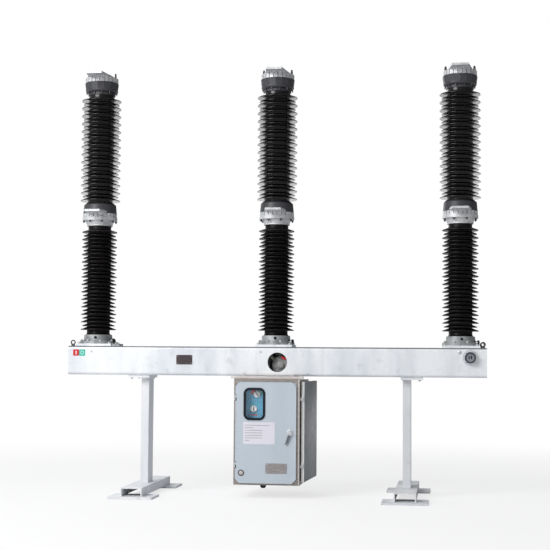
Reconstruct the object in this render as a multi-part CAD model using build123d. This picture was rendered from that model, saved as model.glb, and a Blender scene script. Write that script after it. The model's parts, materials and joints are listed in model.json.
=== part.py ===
from build123d import *
import math
import os

# All sizes are in millimetres, with X along the beam, the front towards minus Y and Z up

# Poles
POLE_NAMES = ("left", "middle", "right")
POLE_SPACING = 1750

# Feet and posts
FOOT_SPACING = 2500
FOOT_PLATE_WIDTH = 420
FOOT_PLATE_DEPTH = 320
FOOT_PLATE_THICK = 20
FOOT_PLATE_SPACING = 1060
CHANNEL_WIDTH = 200
CHANNEL_WEB = 9
CHANNEL_FLANGE = 11
CHANNEL_ROOT_RADIUS = 10
BASE_CHANNEL_HEIGHT = 78
BASE_CHANNEL_LENGTH = 1232
POST_FLANGE_WIDTH = 74
POST_HEIGHT = 1002
HEAD_PLATE_WIDTH = 200
HEAD_PLATE_DEPTH = 350
HEAD_PLATE_THICK = 25
HEAD_PLATE_OUTWARD = 45

# Beam
BEAM_OVERHANG = 240
BEAM_DEPTH = 400
BEAM_HEIGHT = 275
BEAM_SHEET = 8
BEAM_BEND_RADIUS = 26
BEAM_END_THICK = 8
INSPECTION_X = 40
INSPECTION_ABOVE_BOTTOM = 130
INSPECTION_DIAMETER = 185

# Crank seen through the inspection hole
CRANK_X = 62
CRANK_ABOVE_BOTTOM = 104
CRANK_BOSS_DIAMETER = 165
CRANK_BOSS_REACH = 118
CRANK_BODY_DIAMETER = 150
CRANK_LEVER_LENGTH = 150
CRANK_LEVER_WIDTH = 34
CRANK_LEVER_THICK = 14
CRANK_LEVER_SETBACK = 40
CRANK_LEVER_ANGLE = 142
CRANK_ROD_DIAMETER = 18

# Beam fittings
EYE_INSET = 34
EYE_SPACING_Y = 300
EYE_RING_RADIUS = 19
EYE_WIRE_RADIUS = 6
EYE_COLLAR_DIAMETER = 36
EYE_COLLAR_HEIGHT = 14
GAUGE_BESIDE_POLE = 87
GAUGE_ABOVE_BOTTOM = 185
GAUGE_RING_DIAMETER = 144
GAUGE_RING_THICK = 8
GAUGE_BODY_DIAMETER = 104
GAUGE_BODY_DEPTH = 42

# Pole foot
POLE_PLATE_WIDTH = 347
POLE_PLATE_THICK = 22
BASE_FLANGE_DIAMETER = 346
BASE_FLANGE_THICK = 24
BASE_STEP_DIAMETER = 300
BASE_STEP_HEIGHT = 10
BASE_CUP_DIAMETER = 268
BASE_CUP_FLARE = 6
BASE_CASTING_HEIGHT = 87

# Support insulator
SUPPORT_LENGTH = 1061
SUPPORT_CORE_DIAMETER = 222
SUPPORT_BIG_DIAMETER = 342
SUPPORT_SMALL_DIAMETER = 315
SUPPORT_FIRST_SHED = 47
SUPPORT_PITCH = 73.1

# Interrupter insulator
INTERRUPTER_LENGTH = 1059
INTERRUPTER_CORE_DIAMETER = 247
INTERRUPTER_BIG_DIAMETER = 388
INTERRUPTER_SMALL_DIAMETER = 352
INTERRUPTER_FIRST_SHED = 15
INTERRUPTER_PITCH = 75.8

# Sheds of both insulators
SHED_TOP_GAP = 52
SHED_EDGE = 5
SHED_FALL_SHARE = 0.38
SHED_UNDERCUT_SHARE = 0.02

# Middle casting and lower terminal
MIDDLE_CUP_DIAMETER = 247
MIDDLE_CUP_FLARE = 16
MIDDLE_CUP_STRAIGHT = 12
MIDDLE_CUP_HEIGHT = 52
MIDDLE_FLANGE_DIAMETER = 337
MIDDLE_FLANGE_THICK = 27
TERMINAL_FLANGE_DIAMETER = 336
TERMINAL_FLANGE_THICK = 6
TERMINAL_BAND_DIAMETER = 312
TERMINAL_BAND_HEIGHT = 35

# Terminal pads, and the ribs of the bands below them
PAD_THICK = 20
PAD_REACH = 300
PAD_FRONT_WIDTH = 150
PAD_ROOT_DIAMETER = 240
PAD_HOLE_DIAMETER = 14
PAD_HOLE_COLUMNS = 4
PAD_HOLE_SPACING_X = 36
PAD_HOLE_SPACING_Y = 54
PAD_HOLE_FRONT_GAP = 48
RIB_COUNT = 24
RIB_WIDTH = 33
RIB_DEPTH = 8

# Hoods and cap of the interrupter
HOOD_HEIGHT = 110
HOOD_FOOT_DIAMETER = 327
HOOD_WAIST_DIAMETER = 311
HOOD_TOP_DIAMETER = 255
HOOD_SHOULDER = 24
NECK_DIAMETER = 265
NECK_HEIGHT = 24
RING_SIDES = 16
RING_TOP_WIDTH = 325
RING_LOW_WIDTH = 308
RING_HEIGHT = 96
RING_FOOT_DIAMETER = 316
RING_FOOT_HEIGHT = 30
RING_FOOT_RADIUS = 26
CAP_SEAM_DIAMETER = 290
CAP_SEAM_HEIGHT = 5
CAP_BAND_DIAMETER = 304
CAP_BAND_HEIGHT = 46
LUG_SPACING = 272
LUG_WIDTH = 44
LUG_CROWN_DIAMETER = 24
LUG_THICK = 10
LUG_HEIGHT = 54
LUG_WALL = 8
LUG_TURN_DEGREES = 30

# Cabinet
CABINET_X = -32
CABINET_WIDTH = 616
CABINET_HEIGHT = 982
CABINET_FRONT = -380
CABINET_DEPTH = 770
CABINET_SHEET = 3
FRAME_THICK = 4
FRAME_BORDER = 38
ROOF_THICK = 20
ROOF_OVERHANG = 31
ROOF_LIP_DEPTH = 60
SHELL_DROP = 18
HANGER_INSET = 75
SIDE_BORDER_FRONT = 44
SIDE_BORDER = 36

# Front door
DOOR_GAP = 5
DOOR_THICK = 20
DOOR_SHEET = 3
DOOR_LEFT_GAP = 18
DOOR_RIGHT_GAP = 31
DOOR_TOP_GAP = 33
DOOR_BOTTOM_GAP = 18
DOOR_CORNER = 40

# Window in the door
WINDOW_INSET = 178
WINDOW_ABOVE_FLOOR = 747
WINDOW_WIDTH = 202
WINDOW_HEIGHT = 299
WINDOW_RADIUS = 55
GASKET_WIDTH = 21
GASKET_THICK = 6
WINDOW_LAP = 15
PANE_THICK = 4

# Blue panel behind the window
PANEL_BACK = 52
PANEL_THICK = 4
PANEL_HEIGHT = 400
PANEL_BELOW_ROOF = 36
KNOB_DIAMETER = 60
KNOB_THICK = 14
KNOB_UPPER_RIGHT = 13
KNOB_UPPER_ABOVE_FLOOR = 834
KNOB_LOWER_LEFT = 16
KNOB_LOWER_ABOVE_FLOOR = 699

# Door handle
HANDLE_INSET = 53
HANDLE_ABOVE_FLOOR = 484
HANDLE_LENGTH = 112
HANDLE_ANGLE = 21
HANDLE_HUB_DIAMETER = 36
HANDLE_HUB_THICK = 20
HANDLE_LEVER_WIDTH = 26
HANDLE_TIP_WIDTH = 11
HANDLE_LEVER_THICK = 10
HANDLE_STAND_OFF = 10
HANDLE_SPINDLE_DIAMETER = 12
HANDLE_SPINDLE_REACH = 18

# Side door
SIDE_DOOR_GAP = 10
SIDE_DOOR_THICK = 27
SIDE_DOOR_FRONT_SETBACK = 40
SIDE_DOOR_BACK_GAP = 8
SIDE_DOOR_END_GAP = 28
SIDE_DOOR_AJAR_DEGREES = 3.5

# Hinges of both doors
HINGE_LOW_ABOVE_FLOOR = 185
HINGE_HIGH_ABOVE_FLOOR = 805
HINGE_HALF = 24
HINGE_BARREL_RADIUS = 6
HINGE_PIN_RADIUS = 3
HINGE_LEAF = 4
HINGE_CLEARANCE = 0.4
HINGE_NOTCH = 12
HINGE_NOTCH_END_GAP = 8
HINGE_BLOCK_WIDTH = 14
SIDE_HINGE_AHEAD = 14

# Small gap between curved faces that run in each other
RUNNING_GAP = 0.4

# Heights that follow from the sizes above
channel_top = FOOT_PLATE_THICK + BASE_CHANNEL_HEIGHT
post_top = channel_top + POST_HEIGHT
beam_bottom = post_top + HEAD_PLATE_THICK
beam_top = beam_bottom + BEAM_HEIGHT
casting_bottom = beam_top + POLE_PLATE_THICK
support_bottom = casting_bottom + BASE_CASTING_HEIGHT
middle_bottom = support_bottom + SUPPORT_LENGTH
middle_flange_bottom = middle_bottom + MIDDLE_CUP_HEIGHT
terminal_bottom = middle_flange_bottom + MIDDLE_FLANGE_THICK
band_bottom = terminal_bottom + TERMINAL_FLANGE_THICK
hood_bottom = band_bottom + TERMINAL_BAND_HEIGHT
interrupter_bottom = hood_bottom + HOOD_HEIGHT
neck_bottom = interrupter_bottom + INTERRUPTER_LENGTH
ring_bottom = neck_bottom + NECK_HEIGHT
cap_bottom = ring_bottom + RING_HEIGHT
cap_band_bottom = cap_bottom + CAP_SEAM_HEIGHT
cap_shoulder = cap_band_bottom + CAP_BAND_HEIGHT

# Places along the beam
pole_places = dict(zip(POLE_NAMES, (-POLE_SPACING, 0, POLE_SPACING)))
beam_front = -BEAM_DEPTH / 2
beam_end_x = POLE_SPACING + BEAM_OVERHANG
post_web_x = FOOT_SPACING / 2 - POST_FLANGE_WIDTH / 2

# Faces of the cabinet
cabinet_left = CABINET_X - CABINET_WIDTH / 2
cabinet_right = CABINET_X + CABINET_WIDTH / 2
cabinet_top = beam_bottom - ROOF_THICK
cabinet_bottom = cabinet_top - CABINET_HEIGHT
shell_top = cabinet_top - SHELL_DROP
shell_front = CABINET_FRONT + FRAME_THICK
cabinet_back = CABINET_FRONT + CABINET_DEPTH
floor_top = cabinet_bottom + CABINET_SHEET
inner_back = cabinet_back - CABINET_SHEET
inner_right = cabinet_right - CABINET_SHEET
side_opening_front = shell_front + SIDE_BORDER_FRONT
side_opening_back = inner_back - SIDE_BORDER
door_back = CABINET_FRONT - DOOR_GAP
door_front = door_back - DOOR_THICK
door_left = cabinet_left + DOOR_LEFT_GAP
door_right = cabinet_right - DOOR_RIGHT_GAP
window_x = door_left + WINDOW_INSET
window_place = (window_x, cabinet_bottom + WINDOW_ABOVE_FLOOR)
handle_place = (door_right - HANDLE_INSET, cabinet_bottom + HANDLE_ABOVE_FLOOR)
side_door_inner = cabinet_right + SIDE_DOOR_GAP
side_door_outer = side_door_inner + SIDE_DOOR_THICK
side_door_front = CABINET_FRONT + SIDE_DOOR_FRONT_SETBACK

# Hinge lines of the doors
front_hinge = (door_left - HINGE_BARREL_RADIUS, (door_front + door_back) / 2)
side_hinge = ((side_door_inner + side_door_outer) / 2, side_door_front - SIDE_HINGE_AHEAD)
hinge_heights = (cabinet_bottom + HINGE_LOW_ABOVE_FLOOR, cabinet_bottom + HINGE_HIGH_ABOVE_FLOOR)


def block(x_limits, y_limits, z_limits):
    """A box between three pairs of limits."""
    limits = (x_limits, y_limits, z_limits)
    sizes = [high - low for low, high in limits]
    middles = [(high + low) / 2 for low, high in limits]
    return Pos(*middles) * Box(*sizes)


def turned(points):
    """A solid turned about the Z axis from points of radius and height."""
    return revolve(Plane.XZ * make_face(Polyline(*points, close=True)), Axis.Z)


def rod(diameter, start, end, place):
    """A round bar along Y from start to end, with its axis at a place in X and Z."""
    x, z = place
    return Pos(x, (start + end) / 2, z) * Rot(X=90) * Cylinder(diameter / 2, end - start)


def upright(outline, low, high):
    """A flat outline in X and Y raised between two heights."""
    return Pos(Z=low) * extrude(outline, high - low)


def facing(outline, front, back):
    """A flat outline in X and Z carried from a front to a back in Y."""
    return Pos(Y=back) * extrude(Plane.XZ * outline, back - front)


def channel_outline(height):
    """A channel section with its web along the top edge and the flanges below."""
    pocket_width = CHANNEL_WIDTH - 2 * CHANNEL_FLANGE
    pocket_height = height - CHANNEL_WEB
    outline = Pos(Y=height / 2) * Rectangle(CHANNEL_WIDTH, height)
    pocket = Pos(Y=pocket_height / 2) * Rectangle(pocket_width, pocket_height)
    top_corners = pocket.vertices().group_by(Axis.Y)[-1]
    return outline - fillet(top_corners, CHANNEL_ROOT_RADIUS)


def base_channel(side):
    """The channel that runs front to back under a post."""
    section = Plane.XZ * channel_outline(BASE_CHANNEL_HEIGHT)
    bar = extrude(section, BASE_CHANNEL_LENGTH / 2, both=True)
    return Pos(side * FOOT_SPACING / 2, 0, FOOT_PLATE_THICK) * bar


def floor_plates(side):
    """The two plates under a base channel."""
    x = side * FOOT_SPACING / 2
    plate = Pos(x, 0, FOOT_PLATE_THICK / 2) * Box(FOOT_PLATE_WIDTH, FOOT_PLATE_DEPTH, FOOT_PLATE_THICK)
    return Compound([Pos(Y=end * FOOT_PLATE_SPACING / 2) * plate for end in (-1, 1)])


def post(side):
    """A channel post, its web towards the middle, with its head plate on top."""
    section = Rot(Z=side * 90) * channel_outline(POST_FLANGE_WIDTH)
    outer_x = post_web_x + POST_FLANGE_WIDTH
    shape = Pos(X=side * outer_x) * upright(section, channel_top, post_top)
    head = Box(HEAD_PLATE_WIDTH, HEAD_PLATE_DEPTH, HEAD_PLATE_THICK)
    head_x = side * (FOOT_SPACING / 2 + HEAD_PLATE_OUTWARD)
    return shape + Pos(head_x, 0, post_top + HEAD_PLATE_THICK / 2) * head


def beam_outline(inset):
    """The beam's rounded box outline in Y and Z, drawn in by an inset."""
    sizes = (BEAM_DEPTH - 2 * inset, BEAM_HEIGHT - 2 * inset)
    return Pos(Y=beam_bottom + BEAM_HEIGHT / 2) * RectangleRounded(*sizes, BEAM_BEND_RADIUS - inset)


def beam_half(side):
    """One folded half of the beam, on the front or the back side."""
    half = Pos(X=side * BEAM_DEPTH / 2, Y=beam_bottom + BEAM_HEIGHT / 2)
    section = (beam_outline(0) - beam_outline(BEAM_SHEET)) & (half * Rectangle(BEAM_DEPTH, 2 * BEAM_HEIGHT))
    return extrude(Plane.YZ * section, beam_end_x - BEAM_END_THICK, both=True)


def beam_front_channel():
    """The front half of the beam with its round inspection hole."""
    hole_place = (INSPECTION_X, beam_bottom + INSPECTION_ABOVE_BOTTOM)
    hole = rod(INSPECTION_DIAMETER, beam_front - BEAM_SHEET, beam_front + 2 * BEAM_SHEET, hole_place)
    return beam_half(-1) - hole


def beam_end_plates():
    """The two plates that close the ends of the beam."""
    plate = extrude(Plane.YZ * beam_outline(0), BEAM_END_THICK)
    return Compound([Pos(X=-beam_end_x) * plate, Pos(X=beam_end_x - BEAM_END_THICK) * plate])


def crank_housing():
    """The casting inside the beam, with its shaft boss, lever and upright rod."""
    z = beam_bottom + CRANK_ABOVE_BOTTOM
    inner_top = beam_top - BEAM_SHEET
    body = Pos(CRANK_X, 0, (z + inner_top) / 2) * Cylinder(CRANK_BODY_DIAMETER / 2, inner_top - z)
    boss = rod(CRANK_BOSS_DIAMETER, -CRANK_BOSS_REACH, CRANK_BOSS_DIAMETER / 2, (CRANK_X, z))
    outline = Pos(X=CRANK_LEVER_LENGTH / 2) * SlotCenterToCenter(CRANK_LEVER_LENGTH, CRANK_LEVER_WIDTH)
    turned_outline = Pos(CRANK_X, z) * Rot(Z=CRANK_LEVER_ANGLE) * outline
    lever_front = CRANK_LEVER_SETBACK - CRANK_BOSS_REACH
    lever_back = lever_front + CRANK_LEVER_THICK
    angle = math.radians(CRANK_LEVER_ANGLE)
    rod_x = CRANK_X + CRANK_LEVER_LENGTH * math.cos(angle)
    rod_top = z + CRANK_LEVER_LENGTH * math.sin(angle)
    rod_bottom = beam_bottom + BEAM_SHEET
    rod_middle = Pos(rod_x, (lever_front + lever_back) / 2, (rod_bottom + rod_top) / 2)
    upright = rod_middle * Cylinder(CRANK_ROD_DIAMETER / 2, rod_top - rod_bottom)
    return body + boss + facing(turned_outline, lever_front, lever_back) + upright


def lifting_eyes():
    """An eye with a collar at each corner of the beam's top."""
    collar = Pos(Z=EYE_COLLAR_HEIGHT / 2) * Cylinder(EYE_COLLAR_DIAMETER / 2, EYE_COLLAR_HEIGHT)
    ring_middle = EYE_COLLAR_HEIGHT + EYE_RING_RADIUS
    ring = Pos(Z=ring_middle) * Rot(X=90) * Torus(EYE_RING_RADIUS, EYE_WIRE_RADIUS)
    places = GridLocations(2 * (beam_end_x - EYE_INSET), EYE_SPACING_Y, 2, 2)
    return Compound([Pos(Z=beam_top) * place * (collar + ring) for place in places])


def density_gauge():
    """A round gauge on a ring flange at the front of the beam."""
    place = (POLE_SPACING + GAUGE_BESIDE_POLE, beam_bottom + GAUGE_ABOVE_BOTTOM)
    ring_front = beam_front - GAUGE_RING_THICK
    ring = rod(GAUGE_RING_DIAMETER, ring_front, beam_front, place)
    return ring + rod(GAUGE_BODY_DIAMETER, ring_front - GAUGE_BODY_DEPTH, ring_front, place)


def pole_base_plates():
    """A square plate under each pole."""
    plate = Box(POLE_PLATE_WIDTH, POLE_PLATE_WIDTH, POLE_PLATE_THICK)
    z = beam_top + POLE_PLATE_THICK / 2
    return Compound([Pos(x, 0, z) * plate for x in pole_places.values()])


def base_casting():
    """The flanged cup that carries the support insulator."""
    flange = BASE_FLANGE_DIAMETER / 2
    step = BASE_STEP_DIAMETER / 2
    cup = BASE_CUP_DIAMETER / 2
    flange_top = casting_bottom + BASE_FLANGE_THICK
    step_top = flange_top + BASE_STEP_HEIGHT
    return turned([
        (0, casting_bottom),
        (flange, casting_bottom),
        (flange, flange_top),
        (step, flange_top),
        (step, step_top),
        (cup + BASE_CUP_FLARE, step_top),
        (cup, support_bottom),
        (0, support_bottom),
    ])


def insulator(bottom, length, core_diameter, big_diameter, small_diameter, first, pitch):
    """An insulator with alternating big and small sheds that slope down outwards."""
    core = core_diameter / 2
    points = [(0, bottom), (core, bottom)]
    big_sheds = int((length - first - SHED_TOP_GAP) // pitch) + 1
    for number in range(2 * big_sheds - 1):
        rim = small_diameter / 2 if number % 2 else big_diameter / 2
        height = bottom + first + number * pitch / 2
        rise = rim - core
        points.append((core, height + rise * SHED_UNDERCUT_SHARE))
        points.append((rim, height))
        points.append((rim, height + SHED_EDGE))
        points.append((core, height + SHED_EDGE + rise * SHED_FALL_SHARE))
    points += [(core, bottom + length), (0, bottom + length)]
    return turned(points)


def support_insulator():
    """The lower insulator of a pole."""
    return insulator(support_bottom, SUPPORT_LENGTH, SUPPORT_CORE_DIAMETER, SUPPORT_BIG_DIAMETER,
                     SUPPORT_SMALL_DIAMETER, SUPPORT_FIRST_SHED, SUPPORT_PITCH)


def interrupter_insulator():
    """The upper insulator of a pole."""
    return insulator(interrupter_bottom, INTERRUPTER_LENGTH, INTERRUPTER_CORE_DIAMETER,
                     INTERRUPTER_BIG_DIAMETER, INTERRUPTER_SMALL_DIAMETER, INTERRUPTER_FIRST_SHED,
                     INTERRUPTER_PITCH)


def middle_casting():
    """The flared cup and flange between the two insulators."""
    cup = MIDDLE_CUP_DIAMETER / 2
    flange = MIDDLE_FLANGE_DIAMETER / 2
    return turned([
        (0, middle_bottom),
        (cup, middle_bottom),
        (cup, middle_bottom + MIDDLE_CUP_STRAIGHT),
        (cup + MIDDLE_CUP_FLARE, middle_flange_bottom),
        (flange, middle_flange_bottom),
        (flange, terminal_bottom),
        (0, terminal_bottom),
    ])


def terminal_pad(pad_bottom):
    """A flat pad that runs from a round root to the front, with two rows of bolt holes."""
    front_edge = Line((-PAD_FRONT_WIDTH / 2, -PAD_REACH), (PAD_FRONT_WIDTH / 2, -PAD_REACH))
    root = Circle(PAD_ROOT_DIAMETER / 2)
    outline = make_hull(root.edges() + front_edge.edges())
    pad = upright(outline, pad_bottom, pad_bottom + PAD_THICK)
    hole_y = PAD_HOLE_FRONT_GAP - PAD_REACH + PAD_HOLE_SPACING_Y / 2
    middle = Pos(0, hole_y, pad_bottom + PAD_THICK / 2)
    for place in middle * GridLocations(PAD_HOLE_SPACING_X, PAD_HOLE_SPACING_Y, PAD_HOLE_COLUMNS, 2):
        pad -= place * Cylinder(PAD_HOLE_DIAMETER / 2, 2 * PAD_THICK)
    return pad


def ribbed_band(diameter, bottom, top):
    """A round band with flat-faced ribs all around."""
    rib = Rectangle(2 * RIB_DEPTH, RIB_WIDTH)
    outline = Circle(diameter / 2) + PolarLocations(diameter / 2, RIB_COUNT) * rib
    return upright(outline, bottom, top)


def lower_terminal():
    """The ribbed ring on the middle casting, with the lower terminal pad on top."""
    flange = upright(Circle(TERMINAL_FLANGE_DIAMETER / 2), terminal_bottom, band_bottom)
    band = ribbed_band(TERMINAL_BAND_DIAMETER, band_bottom, hood_bottom)
    return flange + band + terminal_pad(hood_bottom)


def lower_hood():
    """The rounded hood under the interrupter insulator, seated over the root of the lower pad."""
    shoulder = interrupter_bottom - HOOD_SHOULDER
    hood = turned([
        (0, hood_bottom),
        (HOOD_FOOT_DIAMETER / 2, hood_bottom),
        (HOOD_WAIST_DIAMETER / 2, shoulder),
        (HOOD_TOP_DIAMETER / 2, interrupter_bottom),
        (0, interrupter_bottom),
    ])
    return hood - terminal_pad(hood_bottom)


def upper_hood():
    """The many-sided ring with a rounded foot, on a narrow neck above the interrupter insulator."""
    foot_top = ring_bottom + RING_FOOT_HEIGHT
    low_outline = RegularPolygon(RING_LOW_WIDTH / 2, RING_SIDES, major_radius=False)
    top_outline = RegularPolygon(RING_TOP_WIDTH / 2, RING_SIDES, major_radius=False)
    sides = loft([Pos(Z=foot_top) * low_outline, Pos(Z=cap_bottom) * top_outline])
    foot = upright(Circle(RING_FOOT_DIAMETER / 2), ring_bottom, foot_top)
    foot = fillet(foot.edges().group_by(Axis.Z)[0], RING_FOOT_RADIUS)
    neck = upright(Circle(NECK_DIAMETER / 2), neck_bottom, foot_top)
    return neck + foot + sides


def upper_terminal():
    """The ribbed cap above a narrow seam, with the upper terminal pad on top."""
    seam = upright(Circle(CAP_SEAM_DIAMETER / 2), cap_bottom, cap_band_bottom)
    band = ribbed_band(CAP_BAND_DIAMETER, cap_band_bottom, cap_shoulder)
    return seam + band + terminal_pad(cap_shoulder)


def lifting_lugs():
    """Two open ears that stand on the cap."""
    crown = Pos(Y=LUG_HEIGHT - LUG_CROWN_DIAMETER / 2) * Circle(LUG_CROWN_DIAMETER / 2)
    foot = Line((-LUG_WIDTH / 2, 0), (LUG_WIDTH / 2, 0))
    outline = make_hull(crown.edges() + foot.edges())
    outline -= offset(outline, -LUG_WALL)
    lug = Rot(Z=LUG_TURN_DEGREES) * extrude(Plane.YZ * outline, LUG_THICK / 2, both=True)
    return Compound([Pos(side * LUG_SPACING / 2, 0, cap_shoulder) * lug for side in (-1, 1)])


def cabinet_roof():
    """The roof sheet, the block that hangs it under the beam and the wide lip over the front frame."""
    sheet_top = shell_top + CABINET_SHEET
    lip_back = CABINET_FRONT + ROOF_LIP_DEPTH
    roof = block((cabinet_left, cabinet_right), (shell_front, cabinet_back), (shell_top, sheet_top))
    hanger_x = (cabinet_left + HANGER_INSET, cabinet_right - HANGER_INSET)
    roof += block(hanger_x, (lip_back, -beam_front), (sheet_top, beam_bottom))
    lip_x = (cabinet_left - ROOF_OVERHANG, cabinet_right + ROOF_OVERHANG)
    return roof + block(lip_x, (CABINET_FRONT, lip_back), (cabinet_top, beam_bottom))


def cabinet_floor():
    """The floor sheet of the cabinet."""
    return block((cabinet_left, cabinet_right), (shell_front, cabinet_back), (cabinet_bottom, floor_top))


def cabinet_left_wall():
    """The closed left wall."""
    x_limits = (cabinet_left, cabinet_left + CABINET_SHEET)
    return block(x_limits, (shell_front, inner_back), (floor_top, shell_top))


def cabinet_back_wall():
    """The closed back wall."""
    return block((cabinet_left, cabinet_right), (inner_back, cabinet_back), (floor_top, shell_top))


def cabinet_side_uprights():
    """The front and back upright of the right wall, beside the opening behind the side door."""
    x_limits = (inner_right, cabinet_right)
    z_limits = (floor_top, shell_top)
    front = block(x_limits, (shell_front, side_opening_front), z_limits)
    return Compound([front, block(x_limits, (side_opening_back, inner_back), z_limits)])


def cabinet_side_rails():
    """The lower and upper rail of the right wall."""
    x_limits = (inner_right, cabinet_right)
    y_limits = (side_opening_front, side_opening_back)
    lower = block(x_limits, y_limits, (floor_top, floor_top + SIDE_BORDER))
    return Compound([lower, block(x_limits, y_limits, (shell_top - SIDE_BORDER, shell_top))])


def cabinet_front_frame():
    """The flat frame around the front opening."""
    y_limits = (CABINET_FRONT, shell_front)
    plate = block((cabinet_left, cabinet_right), y_limits, (cabinet_bottom, cabinet_top))
    opening_x = (cabinet_left + FRAME_BORDER, cabinet_right - FRAME_BORDER)
    opening_z = (cabinet_bottom + FRAME_BORDER, cabinet_top - FRAME_BORDER)
    return plate - block(opening_x, y_limits, opening_z)


def mechanism_panel():
    """The panel behind the window, with its two round knobs."""
    front = shell_front + PANEL_BACK
    top = cabinet_top - PANEL_BELOW_ROOF
    x_limits = (cabinet_left + CABINET_SHEET, inner_right)
    shape = block(x_limits, (front, front + PANEL_THICK), (top - PANEL_HEIGHT, top))
    upper = (window_x + KNOB_UPPER_RIGHT, cabinet_bottom + KNOB_UPPER_ABOVE_FLOOR)
    lower = (window_x - KNOB_LOWER_LEFT, cabinet_bottom + KNOB_LOWER_ABOVE_FLOOR)
    for place in (upper, lower):
        shape += rod(KNOB_DIAMETER, front - KNOB_THICK, front, place)
    return shape


def hinge_fixed(line, height):
    """The lower half of a lift-off hinge with its pin."""
    barrel = Pos(*line, height - HINGE_HALF / 2) * Cylinder(HINGE_BARREL_RADIUS, HINGE_HALF)
    pin_length = HINGE_HALF - HINGE_LEAF
    return barrel + Pos(*line, height + pin_length / 2) * Cylinder(HINGE_PIN_RADIUS, pin_length)


def hinge_moving(line, height):
    """The upper half of a lift-off hinge, bored for the pin."""
    bottom = height + HINGE_CLEARANCE
    middle = bottom + HINGE_HALF / 2
    barrel = Pos(*line, middle) * Cylinder(HINGE_BARREL_RADIUS, HINGE_HALF)
    bore_depth = HINGE_HALF - HINGE_LEAF + HINGE_CLEARANCE
    bore = Pos(*line, bottom + bore_depth / 2) * Cylinder(HINGE_PIN_RADIUS + RUNNING_GAP, bore_depth)
    return barrel, bore, (bottom, bottom + HINGE_HALF)


def hinge_halves():
    """The fixed hinge halves of the front door and of the side door."""
    halves = []
    for height in hinge_heights:
        z_limits = (height - HINGE_HALF, height)
        x, y = front_hinge
        leaf = block((x - HINGE_LEAF / 2, x + HINGE_LEAF / 2), (y, CABINET_FRONT), z_limits)
        halves.append(hinge_fixed(front_hinge, height) + leaf)
        x, y = side_hinge
        leaf = block((cabinet_right, x), (y - HINGE_LEAF / 2, y + HINGE_LEAF / 2), z_limits)
        halves.append(hinge_fixed(side_hinge, height) + leaf)
    return Compound(halves)


def front_door():
    """The front door as an open-backed tray with cut corners, a window and hinge halves."""
    bottom = cabinet_bottom + DOOR_BOTTOM_GAP
    top = cabinet_top - DOOR_TOP_GAP
    middle = Pos((door_left + door_right) / 2, (bottom + top) / 2)
    outline = middle * chamfer(Rectangle(door_right - door_left, top - bottom).vertices(), DOOR_CORNER)
    inner = offset(outline, -DOOR_SHEET, kind=Kind.INTERSECTION)
    door = facing(outline, door_front, door_back) - facing(inner, door_front + DOOR_SHEET, door_back)
    window_size = (WINDOW_WIDTH - 2 * WINDOW_LAP, WINDOW_HEIGHT - 2 * WINDOW_LAP)
    window = Pos(*window_place) * RectangleRounded(*window_size, WINDOW_RADIUS - WINDOW_LAP)
    door -= facing(window, door_front, door_front + DOOR_SHEET)
    door -= rod(HANDLE_SPINDLE_DIAMETER + 2 * RUNNING_GAP, door_front, door_front + DOOR_SHEET, handle_place)
    x, y = front_hinge
    notch_right = door_left + HINGE_NOTCH
    block_right = notch_right + HINGE_BLOCK_WIDTH
    for height in hinge_heights:
        reach = HINGE_HALF + HINGE_NOTCH_END_GAP
        door -= block((door_left, notch_right), (door_front, door_back), (height - reach, height + reach))
        barrel, bore, z_limits = hinge_moving(front_hinge, height)
        door += block((notch_right, block_right), (door_front, door_back), (height - reach, height + reach))
        door += block((x, notch_right), (y - HINGE_LEAF / 2, y + HINGE_LEAF / 2), z_limits)
        door = door + barrel - bore
    return door


def window_gasket():
    """The rubber frame around the window."""
    outer = RectangleRounded(WINDOW_WIDTH, WINDOW_HEIGHT, WINDOW_RADIUS)
    width = 2 * GASKET_WIDTH
    inner = RectangleRounded(WINDOW_WIDTH - width, WINDOW_HEIGHT - width, WINDOW_RADIUS - GASKET_WIDTH)
    return facing(Pos(*window_place) * (outer - inner), door_front - GASKET_THICK, door_front)


def window_pane():
    """The clear pane held behind the gasket."""
    inset = WINDOW_LAP + (GASKET_WIDTH - WINDOW_LAP) / 2
    outline = RectangleRounded(WINDOW_WIDTH - 2 * inset, WINDOW_HEIGHT - 2 * inset, WINDOW_RADIUS - inset)
    return facing(Pos(*window_place) * outline, door_front, door_front + PANE_THICK)


def door_handle():
    """The lever handle with its hub and spindle."""
    hub_back = door_front - RUNNING_GAP
    hub_front = hub_back - HANDLE_HUB_THICK
    shape = rod(HANDLE_HUB_DIAMETER, hub_front, hub_back, handle_place)
    shape += rod(HANDLE_SPINDLE_DIAMETER, hub_back, hub_back + HANDLE_SPINDLE_REACH, handle_place)
    root = Circle(HANDLE_LEVER_WIDTH / 2)
    tip = Pos(Y=-HANDLE_LENGTH) * Circle(HANDLE_TIP_WIDTH / 2)
    lever = Pos(*handle_place) * Rot(Z=-HANDLE_ANGLE) * make_hull(root.edges() + tip.edges())
    lever_back = door_front - HANDLE_STAND_OFF
    return shape + facing(lever, lever_back - HANDLE_LEVER_THICK, lever_back)


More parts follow.
